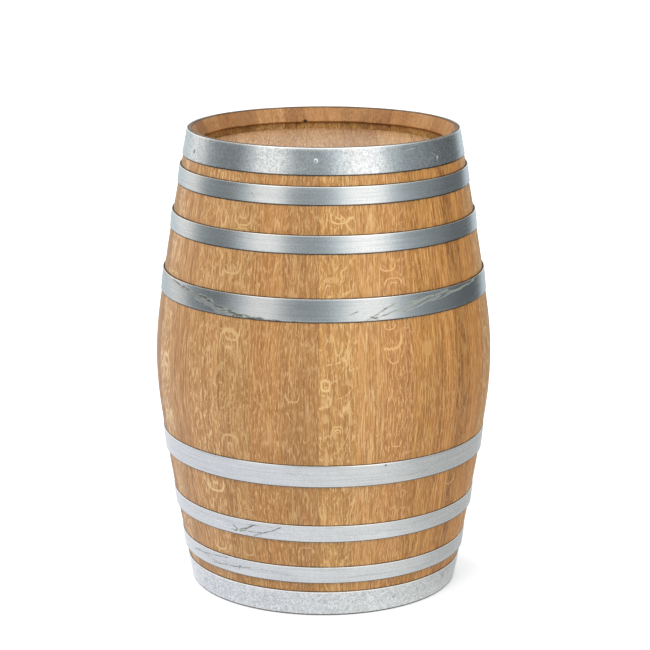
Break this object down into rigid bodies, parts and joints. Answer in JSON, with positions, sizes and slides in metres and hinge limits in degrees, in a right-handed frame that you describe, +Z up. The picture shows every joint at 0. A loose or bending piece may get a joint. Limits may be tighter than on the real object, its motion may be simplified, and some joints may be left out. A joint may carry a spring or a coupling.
{
  "type": "oak wine barrel",
  "caption": "Upright oak barrel for ageing wine: bent staves round two recessed boarded heads, bound by riveted galvanised hoops, with a pull-out bung in its side.",
  "frame": {"origin": "middle of the circle that the barrel stands on, at its bottom end", "axes": "+Z up along the barrel's axis, +Y out through the bung"},
  "size_m": [0.6918, 0.6999, 0.95],
  "materials": {
    "oak_stave": "planed and sanded, bare, satin",
    "oak_head": "planed and sanded, bare, satin",
    "hoop_steel": "hot-dip galvanised, rolled, lightly scuffed",
    "rivet_steel": "galvanised, satin",
    "nail_steel": "galvanised, dull",
    "dowel_oak": "turned, bare",
    "rush": "dry split rush, matt",
    "bung_silicone": "moulded silicone, matt"
  },
  "bodies": {
    "barrel": {"bung_stave": "oak_stave", "stave_02": "oak_stave", "stave_03": "oak_stave", "stave_04": "oak_stave", "stave_05": "oak_stave", "stave_06": "oak_stave", "stave_07": "oak_stave", "stave_08": "oak_stave", "stave_09": "oak_stave", "stave_10": "oak_stave", "stave_11": "oak_stave", "stave_12": "oak_stave", "stave_13": "oak_stave", "stave_14": "oak_stave", "stave_15": "oak_stave", "stave_16": "oak_stave", "stave_17": "oak_stave", "stave_18": "oak_stave", "stave_19": "oak_stave", "stave_20": "oak_stave", "stave_21": "oak_stave", "stave_22": "oak_stave", "stave_23": "oak_stave", "stave_24": "oak_stave", "stave_25": "oak_stave", "stave_26": "oak_stave", "stave_27": "oak_stave", "stave_28": "oak_stave", "stave_29": "oak_stave", "stave_30": "oak_stave", "top_head_board_1": "oak_head", "top_head_board_2": "oak_head", "top_head_board_3": "oak_head", "top_head_board_4": "oak_head", "top_head_board_5": "oak_head", "top_head_board_6": "oak_head", "top_head_board_7": "oak_head", "bottom_head_board_1": "oak_head", "bottom_head_board_2": "oak_head", "bottom_head_board_3": "oak_head", "bottom_head_board_4": "oak_head", "bottom_head_board_5": "oak_head", "bottom_head_board_6": "oak_head", "bottom_head_board_7": "oak_head", "top_head_hoop": "hoop_steel", "top_collar_hoop": "hoop_steel", "top_quarter_hoop": "hoop_steel", "top_bilge_hoop": "hoop_steel", "bottom_head_hoop": "hoop_steel", "bottom_collar_hoop": "hoop_steel", "bottom_quarter_hoop": "hoop_steel", "bottom_bilge_hoop": "hoop_steel", "hoop_rivets": "rivet_steel", "hoop_nails": "nail_steel", "top_head_dowels": "dowel_oak", "top_head_reeds": "rush", "bottom_head_dowels": "dowel_oak", "bottom_head_reeds": "rush"},
    "bung": {"bung": "bung_silicone"}
  },
  "joints": [
    {"name": "bung_pull", "type": "slide", "parent": "barrel", "child": "bung", "axis": [0, 1, 0], "range_m": [0, 0.08]}
  ]
}
